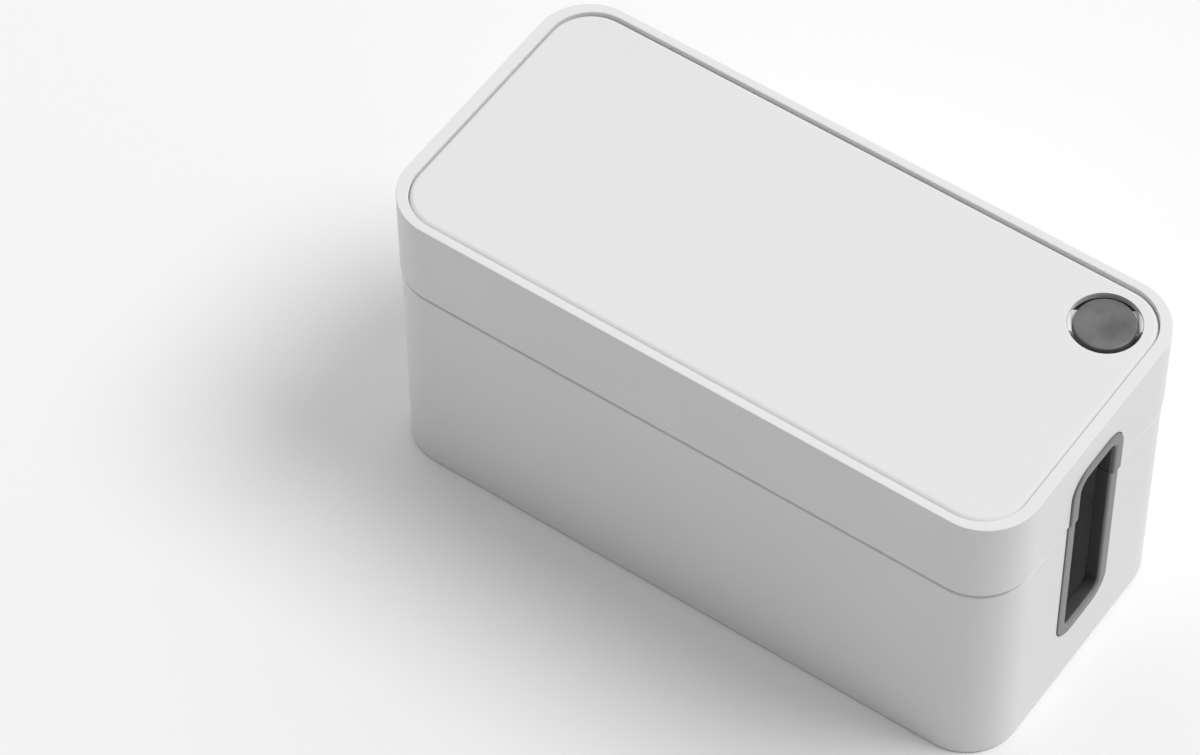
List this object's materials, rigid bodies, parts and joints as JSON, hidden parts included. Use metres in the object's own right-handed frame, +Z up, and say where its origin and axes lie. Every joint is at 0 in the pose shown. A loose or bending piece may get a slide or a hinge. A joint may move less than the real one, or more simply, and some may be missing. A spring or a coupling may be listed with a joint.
{
  "type": "cable management box",
  "caption": "White desk box that hides a power strip and its cables: lift-off lid with a non-slip inlay, lined outlets in both ends and a capped round outlet in the lid.",
  "frame": {"origin": "on the supporting surface, under the middle of the box", "axes": "+X along the box's length towards the end whose corner holds the round lid outlet, +Y across it towards that outlet's side, +Z up"},
  "size_m": [0.2476, 0.116, 0.128],
  "materials": {
    "shell_white": "fine satin moulded plastic",
    "mat_white": "matt non-slip sheet",
    "liner_grey": "matt soft liner",
    "cap_grey": "satin moulded plastic",
    "foot_rubber": "matt rubber"
  },
  "bodies": {
    "tub": {"base_shell": "shell_white", "trim_low_right": "liner_grey", "trim_low_left": "liner_grey", "foot_1": "foot_rubber", "foot_2": "foot_rubber", "foot_3": "foot_rubber", "foot_4": "foot_rubber"},
    "lid": {"lid_shell": "shell_white", "lid_mat": "mat_white", "trim_up_right": "liner_grey", "trim_up_left": "liner_grey", "outlet_sleeve": "liner_grey"},
    "cap": {"outlet_cap": "cap_grey"}
  },
  "joints": [
    {"name": "lid_lift", "type": "slide", "parent": "tub", "child": "lid", "axis": [0, 0, 1], "range_m": [0, 0.12]},
    {"name": "cap_pull", "type": "slide", "parent": "lid", "child": "cap", "axis": [0, 0, 1], "range_m": [0, 0.03]}
  ]
}
